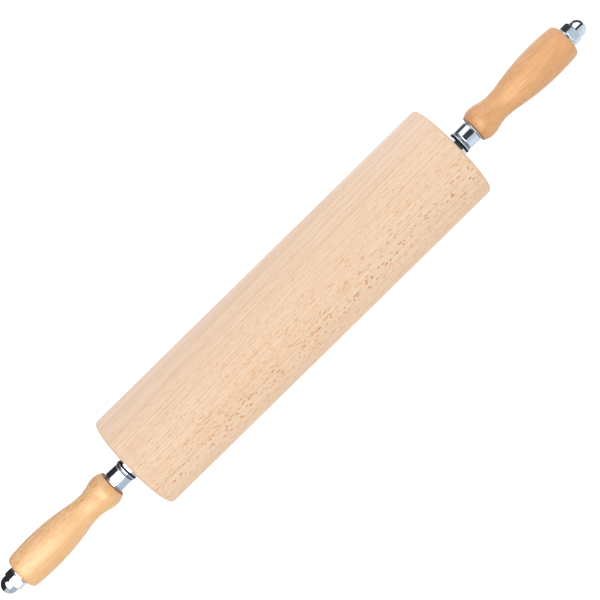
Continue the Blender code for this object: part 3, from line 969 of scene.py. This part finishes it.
# %% The dark things that hang above the right end
def patch(x_middle, x_reach, y_middle, y_reach, edge):
    """A dark oval overhead."""
    away = ((y - y_middle) / y_reach) ** 2 + ((x - x_middle) / x_reach) ** 2
    return sheet.eased(away, edge, 0.8) * sheet.eased(z, 0.3, 0.5)


wide_patch = patch(0.15, 0.13, 0.17, 0.42, 1.15)
long_patch = patch(0.09, 0.1, 0.06, 0.5, 1.3)
boom = sheet.eased(y, -0.24, -0.20) * sheet.eased(y, 0.20, 0.16)
boom = boom * sheet.eased(x, 0.12, 0.18) * sheet.eased(z, -0.35, -0.3)
lit = (1 - walls) * (1 - wide_patch) * (1 - long_patch) * (1 - boom)
lit = lit * sheet.eased(z, -0.75, -0.95, 1.0, 0.4)

# %% The dimmer near side, and the shade at the left end
near_left = sheet.eased(z, 0.87, 0.45, 0.85, 0.52)
near_right = sheet.eased(z, 0.95, 0.0, 0.56, 0.74)
near_level = near_left + (near_right - near_left) * right_part
left_shade = sheet.eased(x, -0.22, -0.45, 0.0, 0.5) * (1 - near * 0.7)
level = lit * (1 - near * (1 - near_level)) * (1 - left_shade)
tone = sheet.mixed(near, (1.16, 1.2, 1.25), (1.0, 1.14, 1.25))
dark = sheet.mixed(right_part, (0.030, 0.032, 0.036), (0.045, 0.058, 0.066))
mirror_sky = sheet.mixed(level, dark, tone)

# %% The bright box, and the two skies in one
BOX_STRENGTH = 5.0
box = sheet.eased(x, 0.04, -0.2) * sheet.eased(x, -0.64, -0.48)
box = box * sheet.eased(((y + 0.05) / 0.8) ** 2, 1.0, 0.1) * sheet.eased(z, -0.1, 0.2)
box = box * (1 - near)
plain_sky = sheet.mixed(sheet.eased(y, -1.0, 1.0), (0.745, 0.71, 0.685), (0.735, 0.695, 0.73))
shiny = sheet.add("ShaderNodeLightPath", {}, {}, "Is Glossy Ray")
sky = sheet.mixed(shiny, plain_sky, mirror_sky)
power = 1 + shiny * lit * box * BOX_STRENGTH
light = sheet.add("ShaderNodeBackground", {}, {"Color": sky, "Strength": power})
sheet.add("ShaderNodeOutputWorld", {}, {"Surface": light})
print("sky:", len(world.node_tree.nodes), "nodes")


# %% A large soft box overhead, and a small one low at the right end
def soft_box(name, place, size, power, colour):
    """A square soft light at place, aimed at the middle of the pin."""
    lamp = bpy.data.lights.new(name, "AREA")
    lamp.shape = "SQUARE"
    lamp.size = size
    lamp.energy = power
    lamp.color = colour
    box = bpy.data.objects.new(name, lamp)
    box.location = place
    towards = Vector((0, 0, AXIS)) - Vector(place)
    box.rotation_euler = towards.to_track_quat("-Z", "Y").to_euler()
    box.visible_glossy = False
    box.visible_camera = False
    bpy.context.scene.collection.objects.link(box)
    print(name, power, "W, edge", size, "m")


soft_box("key_box", (-0.6, -0.5, 2.2), 1.6, 22.5, (1.0, 0.985, 0.965))
soft_box("fill_box", (0.75, 0.55, 0.35), 0.5, 1.5, (0.88, 0.94, 1.0))

# %% [markdown]
# ## The camera
# The picture was taken from straight above, with the pin turned so that it runs from corner to
# corner. A long lens keeps the roller's ends nearly square. The camera's place comes from the
# roller's four corners in the picture, and the roll of the camera is the slope of the pin.

# %% Hang the camera over the pin
SLOPE = math.radians(44.457)
SENSOR_WIDTH = 36
LENS = 105.64
HEIGHT = 1.5751
camera_data = bpy.data.cameras.new("camera")
camera_data.sensor_width = SENSOR_WIDTH
camera_data.lens = LENS
camera_data.clip_end = 20
camera = bpy.data.objects.new("camera", camera_data)
bpy.context.scene.collection.objects.link(camera)
spot = Vector((0.0146, 0.0007, AXIS + HEIGHT))
aim = Vector((0.0086, -0.0001, AXIS))
forward = (aim - spot).normalized()
right_way = Vector((math.cos(SLOPE), -math.sin(SLOPE), 0))
right_way = (right_way - forward * right_way.dot(forward)).normalized()
up_way = right_way.cross(forward)
turn = Matrix((right_way, up_way, -forward)).transposed().to_4x4()
camera.matrix_world = Matrix.Translation(spot) @ turn
bpy.context.scene.camera = camera
bpy.context.scene.view_settings.view_transform = "Standard"
print("camera:", LENS, "mm lens,", HEIGHT, "m above the axis")
